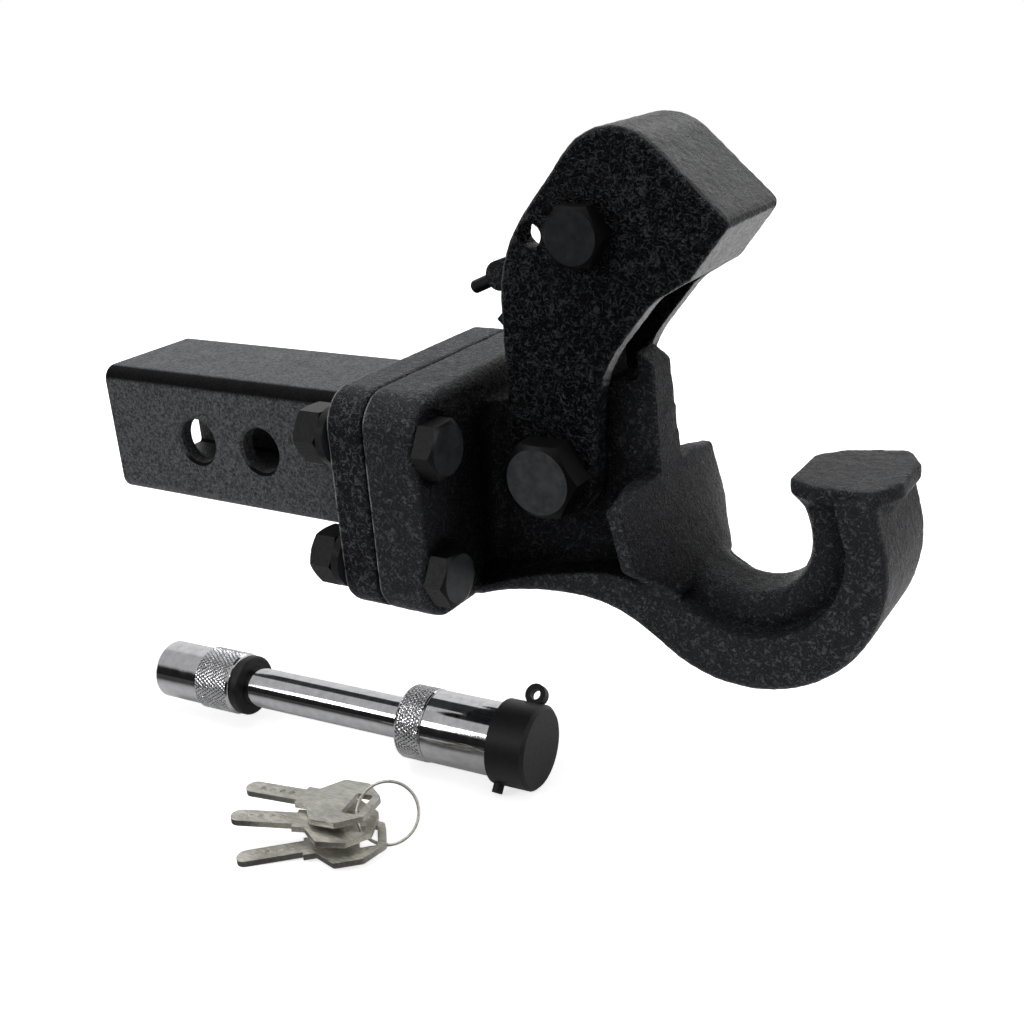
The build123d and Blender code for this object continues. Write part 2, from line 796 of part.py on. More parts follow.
def make_spacers():
    bolt_x, bolt_z = pawl_centre()
    inner = pawl_bolt_diameter / 2 + running_clearance
    ring = Circle(inner + spacer_wall) - Circle(inner)
    length = slot_half - pawl_half - 2 * spacer_end_gap
    pieces = []
    for side in (-1, 1):
        middle = side * (slot_half + pawl_half) / 2
        tube = along_y(bolt_x, middle - length / 2, bolt_z) * extrude(ring, amount=length)
        pieces.append(tube)
    return Pos(hook_x, 0, 0) * Compound(pieces)


def make_pawl_spring():
    bolt_x, bolt_z = pawl_centre()
    inner = pawl_bolt_diameter / 2 + running_clearance + spacer_wall + spring_play
    coil_radius = inner + spring_wire / 2
    coils = None
    for turn in range(spring_turns):
        y = pawl_half + spring_wire * (spring_first_turn + turn * spring_pitch)
        ring = along_y(bolt_x, y, bolt_z) * Torus(coil_radius, spring_wire / 2)
        coils = ring if coils is None else coils + ring
    leg = Pos(bolt_x + coil_radius, pawl_half + spring_wire * spring_first_turn, bolt_z + spring_leg / 2)
    coils += leg * Cylinder(spring_wire / 2, spring_leg)
    return Pos(hook_x, 0, 0) * coils


# Bolts through the latch
def make_pivot_bolt():
    stack = 2 * latch_half + pivot_washer_thickness + pivot_nut_height + pivot_bolt_tail
    bolt = hex_bolt(pivot_diameter, pivot_flats, pivot_head, stack)
    return along_y(hook_x + pivot.X, -latch_half, pivot.Z) * bolt


def make_pivot_washer():
    ring = washer(pivot_washer_diameter, pivot_diameter + 4 * thread_clearance, pivot_washer_thickness)
    return along_y(hook_x + pivot.X, latch_half, pivot.Z) * ring


def make_pivot_nut():
    nut = hex_nut(pivot_diameter, pivot_flats, pivot_nut_height)
    return along_y(hook_x + pivot.X, latch_half + pivot_washer_thickness, pivot.Z) * nut


def make_pawl_bolt():
    stack = 2 * latch_half + pawl_washer_thickness + pawl_nut_height + pawl_bolt_tail
    bolt = hex_bolt(pawl_bolt_diameter, pawl_bolt_flats, pawl_bolt_head, stack)
    bolt_x, bolt_z = pawl_centre()
    return along_y(hook_x + bolt_x, -latch_half, bolt_z) * bolt


def make_pawl_washer():
    ring = washer(pawl_washer_diameter, pawl_bolt_diameter + 4 * thread_clearance, pawl_washer_thickness)
    bolt_x, bolt_z = pawl_centre()
    return along_y(hook_x + bolt_x, latch_half, bolt_z) * ring


def make_pawl_nut():
    nut = hex_nut(pawl_bolt_diameter, pawl_bolt_flats, pawl_nut_height)
    bolt_x, bolt_z = pawl_centre()
    return along_y(hook_x + bolt_x, latch_half + pawl_washer_thickness, bolt_z) * nut


# Mounting fasteners
def on_each_mount(plane_x, piece):
    return Compound([along_minus_x(plane_x, y, z) * piece for y, z in mount_points()])


seat_front = hook_x + flange_front - spotface_depth
grip = seat_front - shank_reach


def make_mounting_bolts():
    length = grip + spring_washer_thickness + mount_nut_height + mount_bolt_tail
    bolt = hex_bolt(mount_bolt_diameter, mount_bolt_flats, mount_bolt_head, length)
    return on_each_mount(seat_front, bolt)


def make_spring_washers():
    inner = mount_bolt_diameter + 4 * thread_clearance
    ring = washer(spring_washer_diameter, inner, spring_washer_thickness)
    return on_each_mount(shank_reach, ring)


def make_mounting_nuts():
    nut = hex_nut(mount_bolt_diameter, mount_bolt_flats, mount_nut_height)
    return on_each_mount(shank_reach - spring_washer_thickness, nut)


# Locking hitch pin, modelled along +Z from the end of its fixed head
head_length = pin_head_plain_length + pin_head_knurl_length
barrel_start = head_length + pin_shaft_free_length
barrel_end = barrel_start + barrel_collar_length + barrel_length
shaft_end = barrel_start + barrel_floor + pin_neck_length + pin_tip_length
cap_start = barrel_end + cap_floor - cap_length
cap_end = barrel_end + cap_floor
neck_middle = barrel_start + barrel_floor + pin_neck_length / 2
shaft_radius = pin_shaft_diameter / 2
pin_axis_height = barrel_diameter / 2 + cap_clearance + cap_wall - floor_drop


def pin_place():
    yaw = math.radians(pin_yaw_angle)
    return Plane(
        origin=(pin_start_x, pin_start_y, pin_axis_height),
        x_dir=(-math.sin(yaw), math.cos(yaw), 0),
        z_dir=(math.cos(yaw), math.sin(yaw), 0),
    )


def turned(points):
    return revolve(Plane.XZ * make_face(Polyline(*points, close=True)), Axis.Z)


def make_pin_shaft():
    neck = pin_neck_diameter / 2
    neck_low = barrel_start + barrel_floor
    neck_high = neck_low + pin_neck_length
    tip = shaft_radius - pin_tip_step
    shaft = turned(
        [
            (0, pin_head_plain_length / 2),
            (shaft_radius, pin_head_plain_length / 2),
            (shaft_radius, neck_low),
            (neck, neck_low),
            (neck, neck_high),
            (tip, neck_high),
            (tip, shaft_end - pin_tip_chamfer),
            (tip - pin_tip_chamfer, shaft_end),
            (0, shaft_end),
        ]
    )
    return pin_place() * shaft


def make_pin_head():
    plain = pin_head_plain_diameter / 2
    knurl = pin_head_knurl_diameter / 2
    bore_floor = pin_head_plain_length / 2
    head = turned(
        [
            (0, 0),
            (plain - pin_head_edge, 0),
            (plain, pin_head_edge),
            (plain, pin_head_plain_length),
            (knurl - pin_knurl_edge, pin_head_plain_length),
            (knurl, pin_head_plain_length + pin_knurl_edge),
            (knurl, head_length - pin_head_edge),
            (knurl - pin_head_edge, head_length),
            (shaft_radius, head_length),
            (shaft_radius, bore_floor),
            (0, bore_floor),
        ]
    )
    return pin_place() * head


def make_pin_seals():
    section = Circle(seal_ring_diameter / 2) - Circle(shaft_radius + running_clearance)
    ring = Pos(0, 0, head_length) * extrude(section, amount=seal_ring_thickness)
    rims = ring.edges().filter_by(GeomType.CIRCLE).sort_by(SortBy.RADIUS)[-2:]
    return pin_place() * fillet(rims, seal_ring_round)


def make_lock_barrel():
    radius = barrel_diameter / 2
    collar = barrel_collar_diameter / 2
    bore = shaft_radius + pin_bore_clearance
    plug_bore = lock_plug_diameter / 2 + lock_plug_clearance
    plug_start = barrel_end - lock_plug_length
    collar_end = barrel_start + barrel_collar_length
    barrel = turned(
        [
            (bore, barrel_start),
            (collar - barrel_mouth_edge, barrel_start),
            (collar, barrel_start + barrel_mouth_edge),
            (collar, collar_end - barrel_edge),
            (collar - barrel_edge, collar_end),
            (radius, collar_end),
            (radius, barrel_end - barrel_edge),
            (radius - barrel_edge, barrel_end),
            (plug_bore, barrel_end),
            (plug_bore, plug_start),
            (bore, plug_start),
        ]
    )
    pocket_length = lock_ball_pocket - shaft_radius
    pocket = Cylinder(lock_ball_diameter / 2 + lock_ball_clearance, pocket_length)
    for side in (-1, 1):
        middle = side * (shaft_radius + pocket_length / 2)
        barrel -= Pos(middle, 0, neck_middle) * Rot(0, 90, 0) * pocket
    return pin_place() * barrel


def make_lock_plug():
    length = lock_plug_length - lock_plug_recess
    plug = Pos(0, 0, barrel_end - lock_plug_length / 2) * Cylinder(lock_plug_diameter / 2, length)
    keyway = Pos(0, 0, barrel_end) * Box(keyway_width, keyway_height, lock_plug_length)
    return pin_place() * (plug - keyway)


def make_lock_balls():
    ball = Sphere(lock_ball_diameter / 2)
    balls = [Pos(side * lock_ball_reach, 0, neck_middle) * ball for side in (-1, 1)]
    return pin_place() * Compound(balls)


def make_dust_cap():
    inner = barrel_diameter / 2 + cap_clearance
    outer = inner + cap_wall
    shell = turned(
        [
            (0, barrel_end + cap_air),
            (inner, barrel_end + cap_air),
            (inner, cap_start),
            (outer, cap_start),
            (outer, cap_end - cap_edge),
            (outer - cap_edge, cap_end),
            (0, cap_end),
        ]
    )
    band = Circle(cap_loop_radius) - Circle(cap_loop_radius - cap_loop_band)
    loop = extrude(Plane.YZ * band, cap_loop_width / 2, both=True)
    nub_reach = cap_nub_length + cap_wall / 2
    nub = Rot(90, 0, 0) * Cylinder(cap_nub_radius, nub_reach)
    shell += Pos(0, outer + cap_loop_radius - cap_loop_band / 2, cap_start + cap_loop_forward) * loop
    shell += Pos(0, cap_wall / 2 - outer - nub_reach / 2, cap_start + cap_nub_forward) * nub
    return pin_place() * Rot(0, 0, -cap_turn_angle) * shell


# Keys
def ring_frame():
    heading = math.radians(ring_heading_angle)
    lean = math.radians(ring_lean_angle)
    across = Vector(math.cos(heading), math.sin(heading), 0)
    rise = Vector(-math.sin(heading) * math.cos(lean), math.cos(heading) * math.cos(lean), math.sin(lean))
    middle = (ring_x, ring_y, ring_height - floor_drop)
    return Plane(origin=middle, x_dir=across, z_dir=across.cross(rise))


def make_key():
    """A key lying on the XY plane with its slot at the origin and its blade along -X."""
    bow_end = key_slot_length / 2 + key_slot_rim
    shoulder = bow_end - key_bow_length
    blade = shoulder - key_shoulder_length
    tip = blade - key_blade_length
    bow = Polyline(
        (bow_end, -key_slot_width / 2),
        (bow_end - key_bow_end_taper, -key_bow_half),
        (shoulder + key_bow_shoulder_taper, -key_bow_half),
        (shoulder, -key_shoulder_width / 2),
        (shoulder, key_shoulder_width / 2),
        (shoulder + key_bow_shoulder_taper, key_bow_half),
        (bow_end - key_bow_end_taper, key_bow_half),
        (bow_end, key_slot_width / 2),
        close=True,
    )
    face = make_face(bow)
    bow_corners = face.vertices().filter_by(lambda corner: corner.X > shoulder + touching)
    face = fillet(bow_corners, key_bow_corner)
    face += Pos((shoulder + blade) / 2, 0) * Rectangle(key_shoulder_length, key_shoulder_width)
    face += Pos((blade + tip) / 2, 0) * SlotOverall(key_blade_length, key_blade_width)
    face += Pos(blade - key_blade_width / 4, 0) * Rectangle(key_blade_width / 2, key_blade_width)
    face -= RectangleRounded(key_slot_length, key_slot_width, key_slot_corner)
    key = extrude(face, key_thickness / 2, both=True)
    dimple = Cylinder(key_dimple_diameter / 2, 2 * key_dimple_depth)
    for step in range(1, key_dimples + 1):
        for side in (-1, 1):
            key -= Pos(blade - step * key_dimple_pitch, 0, side * key_thickness / 2) * dimple
    return key


def make_keys():
    keys = []
    for ring_angle, yaw, tilt in key_stations:
        x, y = polar(0, 0, ring_radius, ring_angle)
        slot = ring_frame().from_local_coords((x, y, 0))
        keys.append(Pos(slot.X, slot.Y, slot.Z) * Rot(0, 0, yaw) * Rot(0, tilt, 0) * make_key())
    return Compound(keys)


def make_key_ring():
    return ring_frame() * Torus(ring_radius, ring_wire / 2)


def write_part(name, solid):
    solid.label = name
    export_step(solid, "parts/" + name + ".step")


PARTS = {
    "shank_tube": make_shank,
    "shank_weld": make_weld,
    "mount_plate": make_mount_plate,
    "hook_casting": make_hook,
    "mounting_bolts": make_mounting_bolts,
    "spring_washers": make_spring_washers,
    "mounting_nuts": make_mounting_nuts,
    "latch_casting": make_latch_casting,
    "pivot_bolt": make_pivot_bolt,
    "pivot_washer": make_pivot_washer,
    "pivot_nut": make_pivot_nut,
    "pawl_bolt": make_pawl_bolt,
    "pawl_washer": make_pawl_washer,
    "pawl_nut": make_pawl_nut,
    "lock_pawl": make_pawl,
    "pawl_spacers": make_spacers,
    "pawl_spring": make_pawl_spring,
    "thumb_rod": make_thumb_rod,
    "pin_shaft": make_pin_shaft,
    "pin_head": make_pin_head,
    "pin_seal": make_pin_seals,
    "lock_barrel": make_lock_barrel,
    "lock_plug": make_lock_plug,
    "lock_balls": make_lock_balls,
    "dust_cap": make_dust_cap,
    "keys": make_keys,
    "key_ring": make_key_ring,
}

os.makedirs("parts", exist_ok=True)
for part_name, make in PARTS.items():
    write_part(part_name, make())
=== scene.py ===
import math
from collections import namedtuple

import bmesh
import bpy
from mathutils import Matrix, Vector, noise


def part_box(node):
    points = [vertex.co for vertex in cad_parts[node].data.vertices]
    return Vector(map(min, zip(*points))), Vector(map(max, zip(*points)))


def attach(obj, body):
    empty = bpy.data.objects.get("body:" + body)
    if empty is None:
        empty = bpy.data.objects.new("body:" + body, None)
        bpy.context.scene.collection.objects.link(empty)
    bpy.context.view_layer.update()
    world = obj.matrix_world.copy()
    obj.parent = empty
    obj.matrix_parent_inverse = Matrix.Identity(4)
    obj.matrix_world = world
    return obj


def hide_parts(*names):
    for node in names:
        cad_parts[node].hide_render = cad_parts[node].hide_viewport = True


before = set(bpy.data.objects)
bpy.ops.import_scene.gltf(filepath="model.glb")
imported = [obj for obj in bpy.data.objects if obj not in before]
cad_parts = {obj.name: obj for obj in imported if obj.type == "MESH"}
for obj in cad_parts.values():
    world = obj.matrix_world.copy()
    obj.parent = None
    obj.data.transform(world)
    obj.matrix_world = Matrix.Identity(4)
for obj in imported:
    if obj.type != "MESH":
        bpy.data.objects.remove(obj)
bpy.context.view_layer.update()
MM = 0.001

# Where things are, in millimetres and degrees: the floor, the loose pin's axis and the camera
FLOOR_Z = -119.2
FLOOR_GAP = 0.02
PIN_START = Vector((-32.5, -28.6, -103.45))
PIN_YAW = math.radians(3.9)
CAMERA_PLACE = Vector((356.18, -359.94, 151.73))
CAMERA_YAW = math.radians(32.86)
CAMERA_PITCH = math.radians(21.82)
CAMERA_ROLL = math.radians(-4.18)
CAMERA_LENS = 45.85
SENSOR_WIDTH = 36

# Ways that faces look, in the part's own frame
FORWARD = (1, 0, 0)
BACKWARD = (-1, 0, 0)
RIGHT = (0, -1, 0)
UPPER_RIGHT = (0, -0.707, 0.707)
PAD_TOP = (-0.07, 0, 1)
LATCH_TOP = (0.68, 0, 0.73)
LATCH_NOSE = (0.79, 0, -0.61)


# Small helpers for shader nodes
class Shader:
    def __init__(self, name):
        self.material = bpy.data.materials.new(name)
        self.material.use_nodes = True
        self.tree = self.material.node_tree
        self.body = self.tree.nodes["Principled BSDF"]
        self.coords = self.tree.nodes.new("ShaderNodeTexCoord").outputs["Object"]

    def put(self, socket, value):
        self.body.inputs[socket].default_value = value

    def link(self, a, b):
        self.tree.links.new(a, b)

    def noise(self, scale, detail=3.0, rough=0.5, stretch=None, twist=0.0):
        """Cloudy noise around one half, with its scale in features per metre."""
        node = self.tree.nodes.new("ShaderNodeTexNoise")
        node.inputs["Distortion"].default_value = twist
        node.inputs["Scale"].default_value = scale
        node.inputs["Detail"].default_value = detail
        node.inputs["Roughness"].default_value = rough
        source = self.coords
        if stretch:
            mapping = self.tree.nodes.new("ShaderNodeMapping")
            mapping.inputs["Scale"].default_value = stretch
            self.link(self.coords, mapping.inputs["Vector"])
            source = mapping.outputs["Vector"]
        self.link(source, node.inputs["Vector"])
        return node.outputs["Fac"]

    def facing(self, direction, low, high):
        """1 where the surface faces the given way in the piece's own frame, 0 where it turns from it."""
        coords = self.tree.nodes.new("ShaderNodeTexCoord")
        dot = self.tree.nodes.new("ShaderNodeVectorMath")
        dot.operation = "DOT_PRODUCT"
        dot.inputs[1].default_value = direction
        self.link(coords.outputs["Normal"], dot.inputs[0])
        return self.span(dot.outputs["Value"], low, high)

    def openness(self, reach_mm):
        """1 on open faces, less in corners and behind other pieces."""
        node = self.tree.nodes.new("ShaderNodeAmbientOcclusion")
        node.samples = 6
        node.inputs["Distance"].default_value = reach_mm * MM
        return node.outputs["AO"]

    def along(self, axis):
        parts = self.tree.nodes.new("ShaderNodeSeparateXYZ")
        self.link(self.coords, parts.inputs["Vector"])
        return parts.outputs[axis]

    def span(self, value, low, high, to_low=0.0, to_high=1.0):
        node = self.tree.nodes.new("ShaderNodeMapRange")
        node.inputs["From Min"].default_value = low
        node.inputs["From Max"].default_value = high
        node.inputs["To Min"].default_value = to_low
        node.inputs["To Max"].default_value = to_high
        self.link(value, node.inputs["Value"])
        return node.outputs["Result"]

    def maths(self, operation, a, b):
        node = self.tree.nodes.new("ShaderNodeMath")
        node.operation = operation
        for socket, value in zip(node.inputs, (a, b)):
            if isinstance(value, (int, float)):
                socket.default_value = value
            else:
                self.link(value, socket)
        return node.outputs["Value"]

    def times(self, a, b):
        return self.maths("MULTIPLY", a, b)

    def mix(self, factor, first, second):
        """Blends two colours, each given as numbers or as another node's output."""
        node = self.tree.nodes.new("ShaderNodeMix")
        node.data_type = "RGBA"
        first_colour, second_colour, blend = node.inputs[6], node.inputs[7], node.outputs[2]
        self.link(factor, node.inputs["Factor"])
        for socket, value in ((first_colour, first), (second_colour, second)):
            if isinstance(value, tuple):
                socket.default_value = (*value, 1.0)
            else:
                self.link(value, socket)
        return blend

    def bump(self, height, depth_mm):
        node = self.tree.nodes.new("ShaderNodeBump")
        node.inputs["Strength"].default_value = 1.0
        node.inputs["Distance"].default_value = depth_mm * MM
        self.link(height, node.inputs["Height"])
        self.link(node.outputs["Normal"], self.body.inputs["Normal"])

    def colour(self, output):
        self.link(output, self.body.inputs["Base Color"])

    def roughness(self, output):
        self.link(output, self.body.inputs["Roughness"])


# Faces of a casting painted lighter or darker by the way they face, as painted highlight and painted shade,
# with their bumps smoothed:
# the way they face, how exactly (cosines, from none to full), where along X they start, their painted
# colour, and the share of bumps that is left
PaintedLightFace = namedtuple("PaintedLightFace", "direction low high from_x tint bumps_left")

GRAIN_SCALE, FOLD_SCALE, SWEEP_SCALE, FLECK_SCALE, PATCH_SCALE = 700, 420, 90, 1000, 220
FOLD_WIDTH = 0.075
FOLD_HEIGHT = 0.40
# Painted shade in corners and behind other pieces: how far the occlusion looks, the openness that counts as
# sheltered and as open, and the near-black colour it paints
PAINTED_SHADE_REACH_MM = 38
SHELTERED, OPEN = 0.35, 0.95
PAINTED_SHADE_BLACK = (0.0004, 0.0004, 0.0005)
RUBBED_FULL_MM, RUBBED_END_MM = 0.9, 1.5
BARE_EDGE = (0.30, 0.30, 0.305)
FADE_IN_X = 2 * MM


# Black powder coat over a rough sand casting: thin wavy folds over a fine grain, their crests painted
# paler, partly the coat's own mottle and partly painted highlight; painted shade, near black, in corners
# and behind other pieces; faces painted lighter or darker by the way they face, as painted highlight and
# painted shade; and rubbed bare along the edge of the back face
def casting_material(name, depth_mm, dark, light, gloss, back_x=None, painted_light_faces=()):
    shader = Shader(name)
    grain = shader.noise(GRAIN_SCALE, 3.0, 0.55, twist=1.2)
    folds = shader.maths("SUBTRACT", shader.noise(FOLD_SCALE, 1.5, 0.5, twist=1.1), 0.5)
    crest = shader.span(shader.maths("ABSOLUTE", folds, 0.0), 0.0, FOLD_WIDTH, 1.0, 0.0)
    height = shader.maths("ADD", grain, shader.times(crest, FOLD_HEIGHT))
    # Fold crests painted paler: partly the coat's own mottle, partly painted highlight along the ridges
    pale = shader.times(shader.span(crest, 0.15, 1.0), shader.span(grain, 0.34, 0.60, 0.25, 1.0))
    colour = shader.mix(pale, dark, light)
    # Faces painted lighter or darker by the way they face: painted highlight and painted shade, with fewer
    # bumps
    for face in painted_light_faces:
        mask = shader.facing(face.direction, face.low, face.high)
        if face.from_x is not None:
            mask = shader.times(mask, shader.span(shader.along("X"), face.from_x, face.from_x + FADE_IN_X))
        fleck = shader.span(shader.noise(FLECK_SCALE, 3.0, 0.6, twist=1.0), 0.35, 0.65, 0.45, 1.0)
        colour = shader.mix(shader.times(mask, fleck), colour, face.tint)
        height = shader.times(height, shader.span(mask, 0.0, 1.0, 1.0, face.bumps_left))
    # Painted shade: the colour goes near black in corners and behind other pieces, by ambient occlusion
    unshaded = shader.span(shader.openness(PAINTED_SHADE_REACH_MM), SHELTERED, OPEN, 0.10, 1.0)
    colour = shader.mix(unshaded, PAINTED_SHADE_BLACK, colour)
    if back_x is not None:
        full, end = back_x + RUBBED_FULL_MM * MM, back_x + RUBBED_END_MM * MM
        rubbed = shader.span(shader.along("X"), full, end, 1.0, 0.0)
        edge_only = shader.maths("SUBTRACT", 1.0, shader.facing(BACKWARD, 0.70, 0.90))
        rubbed = shader.times(rubbed, edge_only)
        patches = shader.span(shader.noise(PATCH_SCALE, 3.0, 0.6), 0.38, 0.52)
        colour = shader.mix(shader.times(rubbed, patches), colour, BARE_EDGE)
    shader.bump(height, depth_mm)
    shader.colour(colour)
    shader.roughness(shader.span(shader.noise(SWEEP_SCALE, 2.0, 0.5), 0.3, 0.7, 0.24, 0.33))
    shader.put("Specular IOR Level", gloss)
    return shader.material


# Black powder coat over rolled tube, with a painted dark reflection band on its rounded upper corner and
# painted shade inside
def tube_material():
    shader = Shader("Powder coated tube")
    fine = shader.noise(1000, 3.0, 0.65, twist=0.8)
    cloud = shader.noise(120, 3.0, 0.6)
    speckle = shader.mix(shader.span(fine, 0.38, 0.66), (0.034, 0.0345, 0.037), (0.146, 0.149, 0.158))
    # Painted dark reflection band along the rounded upper corner, by the way it faces
    corner = shader.facing(UPPER_RIGHT, 0.76, 0.90)
    outside = shader.mix(shader.times(corner, 0.95), speckle, (0.001, 0.001, 0.0013))
    # Painted shade: near black inside the tube and in corners, by ambient occlusion
    unshaded = shader.span(shader.openness(30), 0.30, 0.85, 0.05, 1.0)
    shader.bump(shader.maths("ADD", fine, shader.times(cloud, 0.6)), 0.35)
    shader.colour(shader.mix(unshaded, (0.0005, 0.0005, 0.0005), outside))
    rough = shader.span(cloud, 0.3, 0.7, 0.38, 0.52)
    shader.roughness(shader.maths("ADD", rough, shader.times(corner, 0.3)))
    shader.put("Specular IOR Level", 0.06)
    return shader.material


# Bolts and nuts: black all round, the hex sides kept black as painted shade, with the faces that look
# forward and to the right painted paler, partly rubbed head faces and partly painted highlight
def bolt_material(name, rubbed):
    shader = Shader(name)
    fine = shader.noise(1100, 3.0, 0.6)
    cloud = shader.noise(260, 3.0, 0.6)
    # End faces that look forward and to the right: paler, partly rubbed and partly painted highlight; the
    # rest stays black as painted shade
    ends = shader.maths("MAXIMUM", shader.facing(RIGHT, 0.90, 0.985), shader.facing(FORWARD, 0.90, 0.985))
    dim = tuple(0.6 * tone for tone in rubbed)
    end_colour = shader.mix(shader.span(cloud, 0.35, 0.65), dim, rubbed)
    shader.bump(fine, 0.10)
    shader.colour(shader.mix(ends, (0.003, 0.003, 0.0035), end_colour))
    shader.roughness(shader.span(fine, 0.3, 0.7, 0.30, 0.45))
    shader.put("Specular IOR Level", 0.16)
    return shader.material


def chrome_material():
    shader = Shader("Chrome plate")
    turned = shader.noise(60, 3.0, 0.6, stretch=(30, 1, 1))
    haze = shader.noise(300, 3.0, 0.5)
    shader.bump(turned, 0.01)
    shader.colour(shader.mix(shader.span(haze, 0.3, 0.7), (0.46, 0.46, 0.47), (0.58, 0.58, 0.59)))
    shader.roughness(shader.span(haze, 0.3, 0.7, 0.05, 0.11))
    shader.put("Metallic", 1.0)
    return shader.material


# Nickel plate on the keys, brushed along them
def nickel_material():
    shader = Shader("Nickel plate")
    brushed = shader.noise(1800, 4.0, 0.7, stretch=(0.15, 1, 1))
    cloud = shader.noise(110, 3.0, 0.6)
    tone = shader.maths("ADD", shader.times(brushed, 0.6), shader.times(cloud, 0.4))
    shader.bump(brushed, 0.10)
    shader.colour(shader.mix(shader.span(tone, 0.40, 0.60), (0.46, 0.445, 0.40), (0.76, 0.74, 0.68)))
    shader.roughness(shader.span(brushed, 0.3, 0.7, 0.28, 0.44))
    shader.put("Metallic", 1.0)
    return shader.material


# Finishes that are one fine grain in colour, roughness and relief
def grained_material(name, scale, depth_mm, dark, light, smoothest, roughest, socket, value):
    shader = Shader(name)
    fine = shader.noise(scale, 3.0, 0.6)
    shader.bump(fine, depth_mm)
    shader.colour(shader.mix(shader.span(fine, 0.3, 0.7), dark, light))
    shader.roughness(shader.span(fine, 0.3, 0.7, smoothest, roughest))
    shader.put(socket, value)
    return shader.material


PAD_START_X = 0.226
cast_coat = casting_material(
    "Powder coated hook", 1.1, (0.026, 0.027, 0.030), (0.120, 0.124, 0.136), 0.06,
    back_x=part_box("hook_casting")[0][0],
    painted_light_faces=[
        # Forward faces of the hook painted darker: painted shade
        PaintedLightFace(FORWARD, 0.55, 0.85, None, (0.010, 0.010, 0.012), 1.0),
        # The pad's top painted a darker, even tone: painted shade, with fewer bumps
        PaintedLightFace(PAD_TOP, 0.93, 0.985, PAD_START_X, (0.018, 0.0185, 0.020), 0.45),
    ],
)
latch_coat = casting_material(
    "Powder coated latch", 1.1, (0.0020, 0.0022, 0.0028), (0.056, 0.061, 0.071), 0.10,
    painted_light_faces=[
        # The latch's top painted a paler, even tone: painted highlight, with fewer bumps
        PaintedLightFace(LATCH_TOP, 0.80, 0.93, None, (0.024, 0.0245, 0.026), 0.20),
        # The latch's nose painted much paler: painted highlight
        PaintedLightFace(LATCH_NOSE, 0.93, 0.98, None, (0.36, 0.36, 0.365), 0.60),
    ],
)
plate_coat = casting_material(
    "Powder coated plate", 0.8, (0.013, 0.0135, 0.0155), (0.112, 0.116, 0.130), 0.06,
    back_x=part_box("mount_plate")[0][0],
)
tube_coat = tube_material()
black_oxide = bolt_material("Black oxide steel", (0.024, 0.025, 0.028))
plain_oxide = bolt_material("Plain black oxide steel", (0.005, 0.005, 0.006))
rubbed_oxide = bolt_material("Rubbed black oxide steel", (0.054, 0.058, 0.064))
chrome = chrome_material()
rubber = grained_material(
    "Black rubber", 900, 0.06, (0.004, 0.004, 0.0045), (0.010, 0.010, 0.0105), 0.42, 0.55,
    "Specular IOR Level", 0.3,
)
nickel = nickel_material()
brass = grained_material(
    "Machined brass", 700, 0.03, (0.55, 0.40, 0.16), (0.72, 0.56, 0.26), 0.22, 0.34, "Metallic", 1.0,
)
spring_steel = grained_material(
    "Spring steel", 800, 0.03, (0.30, 0.30, 0.31), (0.42, 0.42, 0.43), 0.28, 0.40, "Metallic", 1.0,
)

# Every node that isn't named here is black oxide steel
NODE_MATERIALS = {
    "shank_tube": tube_coat,
    "shank_weld": tube_coat,
    "mount_plate": plate_coat,
    "hook_casting": cast_coat,
    "latch_casting": latch_coat,
    "lock_pawl": cast_coat,
    "pivot_bolt": rubbed_oxide,
    "mounting_nuts": plain_oxide,
    "pawl_spring": spring_steel,
    "lock_balls": spring_steel,
    "pin_shaft": chrome,
    "pin_head": chrome,
    "lock_barrel": chrome,
    "pin_seal": rubber,
    "dust_cap": rubber,
    "lock_plug": brass,
    "keys": nickel,
    "key_ring": nickel,
}


def paint(obj, material):
    obj.data.materials.clear()
    obj.data.materials.append(material)


for node_name, node_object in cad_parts.items():
    paint(node_object, NODE_MATERIALS.get(node_name, black_oxide))


def add_object(name, data):
    obj = bpy.data.objects.new(name, data)
    bpy.context.scene.collection.objects.link(obj)
    return obj


def bake_modifiers(obj):
    depsgraph = bpy.context.evaluated_depsgraph_get()
    mesh = bpy.data.meshes.new_from_object(obj.evaluated_get(depsgraph))
    obj.modifiers.clear()
    obj.data = mesh


def shade_smooth(mesh):
    mesh.polygons.foreach_set("use_smooth", [True] * len(mesh.polygons))


# Castings: the sharp CAD solid becomes one skin whose corners are worn round and whose faces are uneven
VOXEL_MM = 0.6
SMOOTHING = 0.5
BROAD_WAVES_PER_MM, BROAD_SHARE, BROAD_OCTAVES = 0.16, 0.6, 3
FINE_WAVES_PER_MM, FINE_SHARE, FINE_OCTAVES = 0.50, 0.55, 1

# The corner between the collar and the throat, in millimetres: two corners of a box, and the width over
# which the melting fades out at its sides
MELT_LOW, MELT_HIGH, MELT_FADE = (180, -34, -34), (212, 34, 6), 5.0
MELT_STEPS = 90


def smooth_modifier(skin, name, steps):
    smooth = skin.modifiers.new(name, "SMOOTH")
    smooth.factor = SMOOTHING
    smooth.iterations = steps
    return smooth


def melt_throat(skin):
    group = skin.vertex_groups.new(name="melt")
    for vertex in skin.data.vertices:
        place = vertex.co / MM
        inside = min(min(place[axis] - MELT_LOW[axis], MELT_HIGH[axis] - place[axis]) for axis in range(3))
        if inside > 0:
            group.add([vertex.index], min(1.0, inside / MELT_FADE), "REPLACE")
    smooth_modifier(skin, "Melt", MELT_STEPS).vertex_group = "melt"
    bake_modifiers(skin)
    skin.vertex_groups.clear()


def unevenness(place):
    broad = noise.fractal(place * BROAD_WAVES_PER_MM, 1.0, 2.0, BROAD_OCTAVES)
    fine = noise.fractal(place * FINE_WAVES_PER_MM, 1.0, 2.0, FINE_OCTAVES)
    return broad * BROAD_SHARE + fine * FINE_SHARE


